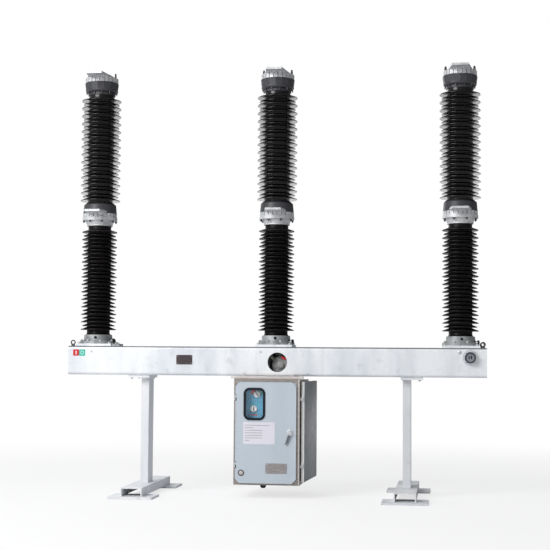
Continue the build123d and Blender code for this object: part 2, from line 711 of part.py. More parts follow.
def side_door():
    """The right side door as a tray with hinge halves at its front edge, standing a little open."""
    x_limits = (side_door_inner, side_door_outer)
    y_limits = (side_door_front, cabinet_back - SIDE_DOOR_BACK_GAP)
    z_limits = (cabinet_bottom + SIDE_DOOR_END_GAP, cabinet_top - SIDE_DOOR_END_GAP)
    hollow_y = (side_door_front + DOOR_SHEET, cabinet_back - SIDE_DOOR_BACK_GAP - DOOR_SHEET)
    hollow_z = (z_limits[0] + DOOR_SHEET, z_limits[1] - DOOR_SHEET)
    door = block(x_limits, y_limits, z_limits)
    door -= block((side_door_inner, side_door_outer - DOOR_SHEET), hollow_y, hollow_z)
    x, y = side_hinge
    for height in hinge_heights:
        barrel, bore, leaf_z = hinge_moving(side_hinge, height)
        door += block((x - HINGE_LEAF / 2, x + HINGE_LEAF / 2), (y, side_door_front), leaf_z)
        door = door + barrel - bore
    return Pos(x, y) * Rot(Z=-SIDE_DOOR_AJAR_DEGREES) * Pos(-x, -y) * door


pieces = {
    "floor_plates_left": floor_plates(-1),
    "floor_plates_right": floor_plates(1),
    "base_channel_left": base_channel(-1),
    "base_channel_right": base_channel(1),
    "post_left": post(-1),
    "post_right": post(1),
    "beam_front_channel": beam_front_channel(),
    "beam_back_channel": beam_half(1),
    "beam_end_plates": beam_end_plates(),
    "crank_housing": crank_housing(),
    "lifting_eyes": lifting_eyes(),
    "density_gauge": density_gauge(),
    "pole_base_plates": pole_base_plates(),
    "cabinet_roof": cabinet_roof(),
    "cabinet_floor": cabinet_floor(),
    "cabinet_left_wall": cabinet_left_wall(),
    "cabinet_back_wall": cabinet_back_wall(),
    "cabinet_side_uprights": cabinet_side_uprights(),
    "cabinet_side_rails": cabinet_side_rails(),
    "cabinet_front_frame": cabinet_front_frame(),
    "mechanism_panel": mechanism_panel(),
    "hinge_halves": hinge_halves(),
    "front_door": front_door(),
    "window_gasket": window_gasket(),
    "window_pane": window_pane(),
    "door_handle": door_handle(),
    "side_door": side_door(),
}

pole_pieces = {
    "base_casting": base_casting(),
    "support_insulator": support_insulator(),
    "middle_casting": middle_casting(),
    "lower_terminal": lower_terminal(),
    "lower_hood": lower_hood(),
    "interrupter_insulator": interrupter_insulator(),
    "upper_hood": upper_hood(),
    "upper_terminal": upper_terminal(),
    "lifting_lugs": lifting_lugs(),
}

for pole, x in pole_places.items():
    for name, shape in pole_pieces.items():
        pieces[f"{name}_{pole}"] = Pos(X=x) * shape

os.makedirs("parts", exist_ok=True)
for name, shape in pieces.items():
    export_step(shape, f"parts/{name}.step")
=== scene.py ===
import json
import math

import bpy
from mathutils import Matrix, Vector


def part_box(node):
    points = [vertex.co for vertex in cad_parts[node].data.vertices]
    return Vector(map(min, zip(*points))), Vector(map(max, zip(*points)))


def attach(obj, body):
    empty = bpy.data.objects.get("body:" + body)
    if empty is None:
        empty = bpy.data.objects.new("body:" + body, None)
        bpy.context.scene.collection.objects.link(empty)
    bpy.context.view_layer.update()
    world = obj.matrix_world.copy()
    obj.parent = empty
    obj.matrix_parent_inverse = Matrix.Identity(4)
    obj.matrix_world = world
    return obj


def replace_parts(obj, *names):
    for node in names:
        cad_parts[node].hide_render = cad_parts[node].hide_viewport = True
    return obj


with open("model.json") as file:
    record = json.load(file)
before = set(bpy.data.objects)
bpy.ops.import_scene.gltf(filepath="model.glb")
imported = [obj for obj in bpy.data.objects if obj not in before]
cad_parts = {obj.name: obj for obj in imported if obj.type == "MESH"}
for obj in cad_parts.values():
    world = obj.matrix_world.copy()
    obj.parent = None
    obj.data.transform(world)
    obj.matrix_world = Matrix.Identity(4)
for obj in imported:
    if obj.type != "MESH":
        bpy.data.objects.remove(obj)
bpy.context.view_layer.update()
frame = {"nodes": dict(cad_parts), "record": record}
nodes = frame["nodes"]

# All sizes are in metres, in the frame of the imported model

POLES = ("left", "middle", "right")

# Camera of the photograph
CAMERA_PLACE = Vector((1.6346, -12.3601, 1.3011))
CAMERA_AZIMUTH = 0.132602
CAMERA_PITCH = 0.0633083
CAMERA_ROLL = 0.00697
FOCAL_PIXELS = 1300
FRAME_PIXELS = 550
SENSOR_WIDTH = 36
CAMERA_REACH = 500

# Studio
LAMP_TARGET = Vector((0, 0, 1.9))
KEY_PLACE = Vector((-6, -8, 7))
KEY_POWER = 900
KEY_SIZE = 6.5
BACK_PLACE = Vector((-5, 9, 6))
BACK_POWER = 200
BACK_SIZE = 6
SKY_AXIS = Vector((-0.6, -0.45, 0.65)).normalized()
SKY_RANGE = (-0.75, 0.9)
SKY_LEVELS = (0.1, 0.58)
SKY_COLOUR = (0.96, 0.98, 1.0, 1.0)
WHITE = (1, 1, 1, 1)
FLOOR_HALF = 60
FLOOR_FADE = (3.0, 9.0)
FLOOR_WHITE_SHARES = (0.7, 1.0)
FLOOR_GLOSS_FADE = (5.0, 12.0)

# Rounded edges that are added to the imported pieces
SHEET_EDGE = 0.0008
STEEL_EDGE = 0.002
EDGE_ANGLE = math.radians(35)
WELD_DISTANCE = 0.00002
SHARP_ANGLE = math.radians(32)

# Insulators
SHED_SIDES = 80
SHED_EDGE = 0.009
SHED_FALL_SHARE = 0.38
SHED_UNDERCUT_SHARE = 0.02
SHED_ROUND = 0.0024
SUPPORT_CORE = 0.111
SUPPORT_RIMS = (0.171, 0.1575)
SUPPORT_FIRST = 0.047
SUPPORT_PITCH = 0.0731
INTERRUPTER_CORE = 0.1235
INTERRUPTER_RIMS = (0.194, 0.176)
INTERRUPTER_FIRST = 0.015
INTERRUPTER_PITCH = 0.0758
BIG_SHEDS = 14
SILICONE_IOR = 1.3
COLLAR_FLARE = 0.011
COLLAR_HEIGHT = 0.016

# Bolts of a pole
BASE_FLANGE_THICK = 0.024
BASE_BOLT_CIRCLE = 0.1615
BASE_BOLTS = 8
BASE_BOLT_ACROSS = 0.021
BASE_STUD = 0.006
PLATE_BOLT_OFFSET = 0.15
PLATE_BOLT_ACROSS = 0.024
MIDDLE_FLANGE_THICK = 0.027
MIDDLE_BOLT_CIRCLE = 0.1575
MIDDLE_BOLTS = 8
MIDDLE_NUT_ACROSS = 0.019
MIDDLE_STUD = 0.008
NECK_BOLT_CIRCLE = 0.1465
NECK_BOLTS = 12
NECK_NUT_ACROSS = 0.012
NECK_NUT_RISE = 0.028
NECK_STUD = 0.012
CAP_BOLT_CIRCLE = 0.095
CAP_BOLTS = 8
CAP_BOLT_ACROSS = 0.019

# Turned profiles are rows of radius and height; plates are width, length, thickness, corner and edge

# Gas fittings at a pole's foot
GAS_ANGLE = math.radians(-14)
GAS_REACH = 0.138
GAS_HEIGHT = 0.03
GAS_COLLAR = ((0.019, 0.0), (0.019, 0.006), (0.0175, 0.008))
GAS_NUT_ACROSS = 0.032
GAS_NUT_FOOT = 0.008
GAS_NUT_HEIGHT = 0.016
GAS_CAP_FOOT = 0.024
GAS_CAP = ((0.0205, 0.0), (0.022, 0.002), (0.022, 0.014), (0.019, 0.0165), (0.008, 0.0175))
PLUG_OFFSET = Vector((0.01, -0.138, 0.062))
PLUG_COLLAR = ((0.0125, -0.006), (0.0125, 0.004), (0.0115, 0.005))
PLUG_HEAD_FOOT = Vector((0, -0.005, 0))
PLUG_HEAD_ACROSS = 0.014
PLUG_HEAD_HEIGHT = 0.007

# Fittings of the beam
INDICATOR_SIZE = 0.06
INDICATOR_LEFT = -1.941
INDICATOR_MIDDLE_Z = 1.335
INDICATOR_THICK = 0.003
INDICATOR_RADIUS = 0.008
INDICATOR_TRIM = 0.001
BAR_MARK = (0.009, 0.034, 0.0008, 0.002, 0.0003)
RING_MARK = ((0.013, 0.0), (0.017, 0.0), (0.017, 0.0008), (0.013, 0.0008))
PLATE_THICK = 0.002
PLATE_RADIUS = 0.006
BORDER_RISE = 0.0006
BORDER_INSETS = (0.003, 0.0035, 0.005, 0.0055)
RIVET = ((0.0032, 0.0), (0.0030, 0.0008), (0.0018, 0.0016))
RIVET_INSET = 0.011
NAMEPLATE_SIZE = (0.155, 0.091)
NAMEPLATE_PLACE = (-0.8515, 1.2735)
BEZEL = ((0.037, 0.0), (0.052, 0.0), (0.0525, 0.004), (0.049, 0.008), (0.041, 0.008), (0.037, 0.004))
DIAL = ((0.0402, 0.0), (0.0402, 0.001), (0.04, 0.0012))
DIAL_FRONT = Vector((0, -0.0012, 0))
TICKS = 11
TICK_START_DEGREES = 225
TICK_STEP_DEGREES = 27
TICK_CIRCLE = 0.034
TICK = (0.0075, 0.0016, 0.0006, 0.0005, 0.0002)
OVAL = (0.011, 0.03, 0.0008, 0.005, 0.0002)
OVAL_SPREAD = 0.011
OVAL_RISE = 0.001
NEEDLE_ANGLE = math.radians(70)
NEEDLE_MIDDLE = 0.018
NEEDLE_FRONT = Vector((0, -0.0045, 0))
NEEDLE = (0.03, 0.0026, 0.001, 0.001, 0.0003)
GAUGE_SCREWS = 4
GAUGE_SCREW_CIRCLE = 0.0625
GAUGE_SCREW_ACROSS = 0.011
GAUGE_FLANGE_THICK = 0.008
STOPPER_PLACE = (1.74, 1.358)
STOPPER = ((0.016, 0.0), (0.016, 0.004), (0.012, 0.006), (0.012, 0.012), (0.009, 0.014))
BEAM_SCREW_PLACES = ((-1.761, 1.347), (-0.122, 1.352), (0.33, 1.15), (-0.27, 1.15))
BEAM_SCREW_ACROSS = 0.013
COVER_SIZE = (0.08, 0.15)
COVER_THICK = 0.021
COVER_RADIUS = 0.006
COVER_EDGE = 0.0015
COVER_PLACE = Vector((-1.535, -0.09, 1.4))
COVER_BOLT_OFFSET = 0.055
COVER_BOLT_ACROSS = 0.015
CRANK_FACE = Vector((0.062, -0.118, 1.229))
CRANK_COVER = ((0.036, 0.0), (0.036, 0.008), (0.03, 0.012), (0.016, 0.013))
CRANK_RIM = ((0.07, 0.0), (0.08, 0.0), (0.08, 0.004), (0.077, 0.007), (0.072, 0.006))
CRANK_BOLTS = 6
CRANK_FIRST_DEGREES = 25
CRANK_BOLT_CIRCLE = 0.06
CRANK_BOLT_ACROSS = 0.016
CRANK_MARK = (0.05, 0.022, 0.014, 0.005, 0.002)
CRANK_MARK_PLACE = Vector((0.093, -0.122, 1.295))
CRANK_MARK_TURN = math.radians(-24)
CRANK_LINK = (0.026, 0.08, 0.008, 0.008, 0.002)
CRANK_LINK_PLACE = Vector((-0.012, -0.078, 1.287))
CRANK_LINK_TURN = math.radians(52)
HEAD_HALF_WIDTH = 0.1
HEAD_THICK = 0.025
HEAD_BOLT_OFFSETS = (0.075, 0.145)
HEAD_BOLT_ACROSS = 0.019
HEAD_BOLT_TURN = 0.3

# Fittings of the cabinet
LABEL_SIZE = (0.295, 0.202)
LABEL_PLACE = (-0.0995, 0.601)
LABEL_THICK = 0.0012
LABEL_RADIUS = 0.004
LABEL_EDGE = 0.0004
LABEL_LINE_SHARES = (0.86, 0.3, 0.62, 0.62, 0.62, 0.62, 0.16)
LABEL_TEXT_SHARE = 0.9
LABEL_TOP_SHARE = 0.36
LABEL_STEP_SHARE = 0.115
LABEL_LINE = (0.004, 0.0004, 0.0015, 0.0001)  # a plate without its width
DATA_PLATE_SIZE = (0.199, 0.093)
DATA_PLATE_PLACE = (0.0625, 0.2785)
VENT_PLACE = (-0.265, 0.236)
VENT_RIM = ((0.019, 0.0), (0.028, 0.0), (0.028, 0.004), (0.026, 0.006), (0.021, 0.006), (0.019, 0.004))
VENT_DISC = ((0.019, 0.0), (0.019, 0.003), (0.0175, 0.0035))
VENT_SLAT = (0.024, 0.004, 0.002, 0.0015, 0.0005)
VENT_SLAT_FOOT = 0.0035
VENT_SLAT_PITCH = 0.009
HANDLE_PLACE = (0.192, 0.607)
HANDLE_HUB_FADE = (0.021, 0.024)
HANDLE_ROSE = ((0.0195, 0.0), (0.031, 0.0), (0.031, 0.002), (0.027, 0.0045), (0.021, 0.0045),
               (0.0195, 0.003))
KNOB_UPPER = (-0.131, 0.957)
KNOB_LOWER = (-0.16, 0.822)
KNOB_TURNS = (math.radians(35), math.radians(4))
KNOB_DEPTH = 0.014
KNOB_PAINT_DEPTH = 0.0135
KNOB_RIM = ((0.024, 0.0), (0.0285, 0.0), (0.0285, 0.002), (0.0265, 0.0035), (0.0245, 0.002))
KNOB_POINTER = (0.013, 0.05, 0.009, 0.005, 0.002)
KNOB_LINE = (0.006, 0.038, 0.0008, 0.0025, 0.0002)
KNOB_LINE_FOOT = Vector((0, -0.009, 0))
UPPER_MARK_TURN = 0.8
UPPER_RED = (0.046, 0.03, 0.0012, 0.006, 0.0004)
UPPER_RED_OFFSET = Vector((-0.038, 0, 0.026))
UPPER_GREEN = (0.05, 0.03, 0.0012, 0.006, 0.0004)
UPPER_GREEN_OFFSET = Vector((0.038, 0, 0.024))
LOWER_MARK_PITCH = 0.022
LOWER_GREEN = (0.009, 0.02, 0.001, 0.003, 0.0003)
LOWER_GREEN_RISE = 0.05
LOWER_GREEN_DROP = 0.005
LOWER_GREEN_TURN = 0.35
LOWER_RED = (0.018, 0.013, 0.001, 0.003, 0.0003)
LOWER_RED_OFFSET = Vector((0, 0, -0.056))
GLAND_PLACE = (-0.066, -0.342)
GLAND_COLLAR = ((0.029, 0.0), (0.029, 0.006), (0.027, 0.008))
GLAND_NUT_FOOT = Vector((0, 0, 0.008))
GLAND_NUT_ACROSS = 0.046
GLAND_NUT_HEIGHT = 0.01
GLAND_NOSE_FOOT = Vector((0, 0, 0.018))
GLAND_NOSE = ((0.023, 0.0), (0.023, 0.004), (0.018, 0.01), (0.014, 0.011))
FRAME_FOLD_INSET = 0.009
FRAME_FOLD_WIDTH = 0.012
FRAME_FOLD_MARGIN = 0.012
FRAME_FOLD_SHAPE = (0.002, 0.004, 0.001)  # a plate without its width and length
SIDE_DOOR_FACE = 0.313
LATCH_Y = 0.12
LATCH_HEIGHTS = (0.62, 0.578)
LATCH_SCREW = ((0.009, 0.0), (0.009, 0.002), (0.006, 0.004))
SEAL_WIDTH = 0.005
SEAL_THICK = 0.0025
SEAL_EDGE = 0.001
SEAL_RADIUS = 0.006
GUSSET_REACH = 0.05
GUSSET_LAP = 0.006
GUSSET_THICK = 0.0012
FRAME_BORDER = 0.038
# In Y, where the side door's front flange with its near-white painted highlight ends
SIDE_FLANGE_BACK = -0.3365

# Directions that a flat shape can face: its own x, y and outward z axes
FACING_FRONT = Matrix(((1, 0, 0), (0, 0, -1), (0, 1, 0)))
FACING_RIGHT = Matrix(((0, 0, 1), (1, 0, 0), (0, 1, 0)))
FACING_DOWN = Matrix(((1, 0, 0), (0, -1, 0), (0, 0, -1)))
FACING_UP = Matrix.Identity(3)


def srgb(red, green, blue):
    """A display colour of 0 to 255 as a linear colour."""
    linear = [(value / 255) ** 2.2 for value in (red, green, blue)]
    return (*linear, 1.0)


class Paint:
    """A node material under construction."""

    def __init__(self, name):
        self.material = bpy.data.materials.new(name)
        self.material.use_nodes = True
        self.tree = self.material.node_tree
        self.shader = self.tree.nodes["Principled BSDF"]
        self.place = self.node("ShaderNodeTexCoord").outputs["Object"]

    def node(self, kind, inputs=None, **settings):
        made = self.tree.nodes.new(kind)
        for key, value in settings.items():
            setattr(made, key, value)
        for key, value in (inputs or {}).items():
            self.set_input(made.inputs[key], value)
        return made

    def set_input(self, socket, value):
        if isinstance(value, bpy.types.NodeSocket):
            self.tree.links.new(value, socket)
        else:
            socket.default_value = value

    def stretched(self, scale):
        """The place on the object, with each axis scaled."""
        return self.node("ShaderNodeMapping", {"Vector": self.place, "Scale": scale}).outputs["Vector"]

    def noise(self, scale, detail=4.0, place=None, roughness=0.55):
        inputs = {"Vector": place or self.place, "Scale": scale, "Detail": detail, "Roughness": roughness}
        return self.node("ShaderNodeTexNoise", inputs).outputs["Fac"]

    def cells(self, scale):
        """Flat patches of one grey each, like crystals."""
        found = self.node("ShaderNodeTexVoronoi", {"Vector": self.place, "Scale": scale})
        return self.node("ShaderNodeSeparateColor", {"Color": found.outputs["Color"]}).outputs["Red"]

    def fit(self, value, low, high, new_low=0.0, new_high=1.0):
        """A value carried smoothly from one range to another."""
        inputs = {"Value": value, "From Min": low, "From Max": high, "To Min": new_low, "To Max": new_high}
        return self.node("ShaderNodeMapRange", inputs, interpolation_type="SMOOTHSTEP").outputs["Result"]

    def math(self, operation, first, second=0.0):
        return self.node("ShaderNodeMath", {0: first, 1: second}, operation=operation).outputs[0]

    def mix(self, factor, first, second):
        made = self.node("ShaderNodeMix", {0: factor, 6: first, 7: second}, data_type="RGBA")
        return made.outputs[2]

    def axis(self, name):
        """One coordinate of the place on the object."""
        return self.node("ShaderNodeSeparateXYZ", {"Vector": self.place}).outputs[name]

    def upward(self):
        """One on faces that look up, zero sideways and below zero underneath."""
        normal = self.node("ShaderNodeNewGeometry").outputs["Normal"]
        return self.node("ShaderNodeSeparateXYZ", {"Vector": normal}).outputs["Z"]

    def bump(self, height, strength, distance):
        made = self.node("ShaderNodeBump", {"Height": height, "Strength": strength, "Distance": distance})
        self.set_input(self.shader.inputs["Normal"], made.outputs["Normal"])

    def done(self, **inputs):
        for key, value in inputs.items():
            self.set_input(self.shader.inputs[key.replace("_", " ")], value)
        return self.material


def galvanised(name, pale, dull, metallic, painted_shade_band=None):
    """Zinc with crystals, vertical patches and small stains, and a painted shade line along the top bend
    where a band in Z is given.
    """
    paint = Paint(name)
    patches = paint.noise(2.6, 5.0, paint.stretched((1.0, 1.0, 0.3)))
    stains = paint.fit(paint.noise(9.0, 6.0), 0.56, 0.78)
    colour = paint.mix(paint.fit(patches, 0.35, 0.68), pale, dull)
    runs = paint.fit(paint.noise(16.0, 5.0, paint.stretched((1.0, 1.0, 0.14))), 0.5, 0.74)
    colour = paint.mix(paint.math("MULTIPLY", runs, 0.35), colour, dull)
    colour = paint.mix(paint.math("MULTIPLY", paint.cells(85.0), 0.2), colour, dull)
    colour = paint.mix(paint.math("MULTIPLY", stains, 0.3), colour, srgb(150, 152, 152))
    # Painted shade: a dark line between these heights along the top bend, standing for the shade there
    if painted_shade_band:
        low, high = painted_shade_band
        rise = paint.fit(paint.axis("Z"), low, low + 0.004)
        end = paint.fit(paint.axis("Z"), high - 0.0012, high - 0.0004, 1.0, 0.0)
        line = paint.math("MULTIPLY", paint.math("MULTIPLY", rise, end), 0.85)
        colour = paint.mix(line, colour, srgb(70, 74, 76))
    rough = paint.fit(paint.noise(30.0, 3.0), 0.3, 0.7, 0.42, 0.6)
    paint.bump(paint.noise(140.0, 3.0), 0.12, 0.0008)
    return paint.done(Base_Color=colour, Metallic=metallic, Roughness=rough)


def cast_metal(name, pale, dull, metallic, rough_range):
    """Sand-cast metal with a fine grain and darker hollows."""
    paint = Paint(name)
    colour = paint.mix(paint.fit(paint.noise(14.0, 6.0), 0.35, 0.7), pale, dull)
    colour = paint.mix(paint.fit(paint.noise(160.0, 2.0), 0.58, 0.75, 0.0, 0.14), colour, srgb(90, 92, 94))
    rough = paint.fit(paint.noise(40.0, 4.0), 0.3, 0.7, *rough_range)
    paint.bump(paint.noise(420.0, 3.0), 0.04, 0.0003)
    return paint.done(Base_Color=colour, Metallic=metallic, Roughness=rough)


def silicone(name, rough_range, coat):
    """Dark insulator rubber, lighter in specks on faces that look up."""
    paint = Paint(name)
    colour = paint.mix(paint.fit(paint.noise(5.0, 5.0), 0.35, 0.7), srgb(14, 13, 15), srgb(24, 20, 23))
    specks = paint.fit(paint.noise(22.0, 5.0), 0.4, 0.75)
    # Lighter specks on faces that look up, fading out towards faces that look sideways
    lighter_upward_specks = paint.math("MULTIPLY", paint.fit(paint.upward(), 0.3, 1.0), specks)
    colour = paint.mix(paint.math("MULTIPLY", lighter_upward_specks, 0.25), colour, srgb(84, 78, 78))
    rough = paint.fit(paint.noise(60.0, 4.0), 0.3, 0.7, *rough_range)
    paint.bump(paint.noise(520.0, 2.0), 0.02, 0.0003)
    return paint.done(Base_Color=colour, Roughness=rough, IOR=SILICONE_IOR, Coat_Weight=coat,
                      Coat_Roughness=0.16, Coat_IOR=SILICONE_IOR)


def coated(name, colour, shade, grain=700.0, rough_range=(0.38, 0.5), streaks=0.25, other=None):
    """Sprayed paint with orange peel, faint run marks and dirt, and another colour before a limit in Y."""
    paint = Paint(name)
    runs = paint.fit(paint.noise(7.0, 5.0, paint.stretched((1.0, 1.0, 0.12))), 0.45, 0.8)
    dirt = paint.fit(paint.noise(3.2, 6.0), 0.5, 0.8)
    mixed = paint.mix(paint.math("MULTIPLY", runs, streaks), colour, shade)
    mixed = paint.mix(paint.math("MULTIPLY", dirt, streaks), mixed, shade)
    if other:
        limit, front_colour = other
        mixed = paint.mix(paint.fit(paint.axis("Y"), limit - 0.0002, limit + 0.0002), front_colour, mixed)
    rough = paint.fit(paint.noise(18.0, 4.0), 0.3, 0.7, *rough_range)
    paint.bump(paint.noise(grain, 2.0), 0.1, 0.0004)
    return paint.done(Base_Color=mixed, Roughness=rough, Specular_IOR_Level=0.4)


def brushed(name, pale, dull, stretch, metallic=0.8, rough_range=(0.3, 0.46)):
    """Sheet metal with brush lines along its longest stretch."""
    paint = Paint(name)
    lines = paint.noise(260.0, 4.0, paint.stretched(stretch))
    clouds = paint.noise(6.0, 4.0)
    colour = paint.mix(paint.fit(lines, 0.3, 0.7), pale, dull)
    colour = paint.mix(paint.fit(clouds, 0.45, 0.8, 0.0, 0.5), colour, dull)
    rough = paint.fit(lines, 0.3, 0.7, *rough_range)
    paint.bump(lines, 0.08, 0.0003)
    return paint.done(Base_Color=colour, Metallic=metallic, Roughness=rough)


def rubber(name, colour, shade):
    """Matt rubber or black plastic."""
    paint = Paint(name)
    mixed = paint.mix(paint.fit(paint.noise(30.0, 5.0), 0.35, 0.7), colour, shade)
    rough = paint.fit(paint.noise(80.0, 3.0), 0.3, 0.7, 0.5, 0.68)
    paint.bump(paint.noise(600.0, 2.0), 0.12, 0.0004)
    return paint.done(Base_Color=mixed, Roughness=rough, Specular_IOR_Level=0.25)


def window_glass():
    """A clear pane with faint wiping marks."""
    paint = Paint("window_glass")
    smears = paint.noise(26.0, 5.0, paint.stretched((1.0, 1.0, 0.4)))
    alpha = paint.fit(smears, 0.35, 0.75, 0.03, 0.08)
    rough = paint.fit(smears, 0.35, 0.75, 0.03, 0.1)
    colour = paint.mix(smears, srgb(225, 236, 240), srgb(240, 244, 246))
    return paint.done(Base_Color=colour, Alpha=alpha, Roughness=rough)


def handle_metal():
    """Bright hub, and a lever painted darker away from the pivot as painted shade."""
    paint = Paint("handle_metal")
    pivot = Vector((HANDLE_PLACE[0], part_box("door_handle")[0].y, HANDLE_PLACE[1]))
    across = paint.node("ShaderNodeVectorMath", {0: paint.place, 1: tuple(pivot)}, operation="SUBTRACT")
    flat = paint.node("ShaderNodeVectorMath", {0: across.outputs[0], 1: (1, 0, 1)}, operation="MULTIPLY")
    away = paint.node("ShaderNodeVectorMath", {0: flat.outputs[0]}, operation="LENGTH").outputs["Value"]
    bright = paint.mix(paint.noise(90.0), srgb(225, 228, 230), srgb(196, 200, 204))
    # Painted shade: the lever is painted a darker grey than the hub, standing for its shaded side
    dark = paint.mix(paint.noise(60.0), srgb(96, 99, 104), srgb(128, 131, 136))
    colour = paint.mix(paint.fit(away, *HANDLE_HUB_FADE), bright, dark)
    rough = paint.fit(paint.noise(120.0), 0.3, 0.7, 0.22, 0.36)
    paint.bump(paint.noise(400.0, 2.0), 0.05, 0.0003)
    return paint.done(Base_Color=colour, Metallic=0.7, Roughness=rough)


materials = {
    # The beam's zinc carries a painted shade line along its top front bend, from 1.386 to 1.4 m
    "beam": galvanised("beam_zinc", srgb(244, 246, 248), srgb(212, 217, 223), 0.2, (1.386, 1.4)),
    "stand": galvanised("stand_zinc", srgb(238, 239, 241), srgb(216, 218, 222), 0.05),
    "casting": cast_metal("cast_aluminium", srgb(172, 174, 175), srgb(132, 134, 136), 0.35, (0.46, 0.6)),
    "terminal": cast_metal("terminal_aluminium", srgb(214, 215, 216), srgb(186, 188, 190), 0.35,
                           (0.44, 0.56)),
    "crank": cast_metal("crank_iron", srgb(152, 152, 151), srgb(88, 89, 90), 0.3, (0.4, 0.55)),
    "link": cast_metal("link_olive", srgb(182, 190, 172), srgb(150, 158, 142), 0.2, (0.4, 0.55)),
    "support": silicone("support_silicone", (0.32, 0.42), 0.0),
    "interrupter": silicone("interrupter_silicone", (0.22, 0.3), 1.0),
    "hood": coated("hood_paint", srgb(66, 66, 70), srgb(48, 48, 52), 500.0),
    "cabinet": coated("cabinet_paint", srgb(190, 200, 209), srgb(171, 180, 190)),
    # Painted shade and highlight: the side door is painted a darker grey than the front door's paint,
    # standing for the shade on the side away from the key lamp, and its front flange ahead of
    # SIDE_FLANGE_BACK is painted near white as a painted highlight
    "side": coated("side_door_paint_painted_shade_and_highlight", srgb(134, 137, 140), srgb(106, 109, 113), 700.0, (0.3, 0.45), 0.4,
                   (SIDE_FLANGE_BACK, srgb(244, 244, 242))),
    "stainless": brushed("frame_stainless", srgb(180, 172, 167), srgb(142, 134, 130), (0.05, 1.0, 1.0)),
    "roof": brushed("roof_stainless", srgb(230, 222, 218), srgb(198, 190, 186), (0.05, 1.0, 1.0), 0.5),
    "panel": coated("panel_blue", srgb(80, 170, 208), srgb(68, 150, 190), 900.0, (0.38, 0.5), 0.25,
                    (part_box("mechanism_panel")[0].y + KNOB_PAINT_DEPTH, srgb(250, 250, 248))),
    "bright": brushed("bright_steel", srgb(236, 238, 240), srgb(205, 208, 211), (1.0, 1.0, 0.2)),
    "gasket": rubber("gasket_rubber", srgb(20, 22, 34), srgb(32, 34, 44)),
    "black": rubber("black_plastic", srgb(30, 30, 33), srgb(46, 46, 49)),
    "glass": window_glass(),
    "gauge": coated("gauge_case", srgb(72, 73, 82), srgb(54, 55, 62), 600.0),
    "dial": coated("gauge_dial", srgb(140, 142, 150), srgb(118, 120, 128), 900.0),
    "handle": handle_metal(),
    "zinc_bolt": brushed("bolt_zinc", srgb(226, 228, 228), srgb(188, 190, 190), (1.0, 1.0, 1.0), 0.75),
    "dark_bolt": brushed("bolt_dark", srgb(96, 97, 100), srgb(66, 67, 70), (1.0, 1.0, 1.0), 0.6),
    "label": coated("label_white", srgb(226, 223, 232), srgb(208, 206, 218), 900.0),
    "print": coated("label_print", srgb(140, 138, 150), srgb(120, 118, 132), 900.0),
    "plate": brushed("plate_grey", srgb(178, 172, 170), srgb(136, 130, 130), (0.05, 1.0, 1.0), 0.4),
    "nameplate": brushed("nameplate_dark", srgb(96, 84, 84), srgb(62, 56, 58), (0.05, 1.0, 1.0), 0.4),
    "red": coated("enamel_red", srgb(206, 48, 58), srgb(176, 38, 48), 900.0),
    "green": coated("enamel_green", srgb(60, 190, 166), srgb(48, 168, 146), 900.0),
    "white": coated("enamel_white", srgb(240, 240, 240), srgb(224, 224, 224), 900.0),
    "knob": brushed("knob_silver", srgb(250, 250, 248), srgb(226, 226, 226), (1.0, 1.0, 1.0), 0.15),
}


def skin(loops, joined=False):
    """Points and faces through loops of equally many points, closed at both ends or joined end to end."""
    count = len(loops[0])
    points = [point for loop in loops for point in loop]
    faces = []
    rows = len(loops) if joined else len(loops) - 1
    for row in range(rows):
        this = row * count
        above = (row + 1) % len(loops) * count
        for place in range(count):
            beside = (place + 1) % count
            faces.append((this + place, this + beside, above + beside, above + place))
    if not joined:
        last = (len(loops) - 1) * count
        faces.append(tuple(reversed(range(count))))
        faces.append(tuple(range(last, last + count)))
    return points, faces


def circle(radius, height, sides, turn=0.0):
    step = 2 * math.pi / sides
    angles = [turn + number * step for number in range(sides)]
    return [Vector((radius * math.cos(angle), radius * math.sin(angle), height)) for angle in angles]


def turned(profile, sides, joined=False, turn=0.0):
    """A shape turned about its z axis from points of radius and height."""
    return skin([circle(radius, height, sides, turn) for radius, height in profile], joined)


def rounded_rectangle(width, length, radius, height, steps=5):
    points = []
    for corner in range(4):
        across = (width / 2 - radius) * (1 if corner in (0, 3) else -1)
        along = (length / 2 - radius) * (1 if corner in (0, 1) else -1)
        for step in range(steps + 1):
            angle = math.pi / 2 * (corner + step / steps)
            x = across + radius * math.cos(angle)
            y = along + radius * math.sin(angle)
            points.append(Vector((x, y, height)))
    return points


def slab(width, length, thick, radius, edge=0.0006):
    """A flat plate with round corners and a softened outer edge."""
    sizes = ((0.0, 0.0), (0.0, thick - edge), (edge, thick))
    loops = [rounded_rectangle(width - 2 * inset, length - 2 * inset, radius - inset, height)
             for inset, height in sizes]
    return skin(loops)


def hexagon(across, height, chamfer_share=0.12):
    """A bolt head or nut with worn upper corners."""
    corner = across / math.sqrt(3)
    profile = ((corner, 0.0), (corner, height * (1 - chamfer_share)), (corner * 0.88, height))
    return turned(profile, sides=6)


def bolt(across, stud=0.0):
    """A washer and a hexagon, with a stud end on top where there is one."""
    washer = 0.1 * across
    height = 0.62 * across
    profile = ((across * 0.62, 0.0), (across * 0.62, washer * 0.7), (across * 0.58, washer))
    shapes = [(turned(profile, sides=20), 0.0), (hexagon(across, height), washer)]
    if stud:
        radius = 0.32 * across
        profile = ((radius, 0.0), (radius, stud * 0.8), (radius * 0.75, stud))
        shapes.append((turned(profile, sides=12), washer + height))
    return shapes


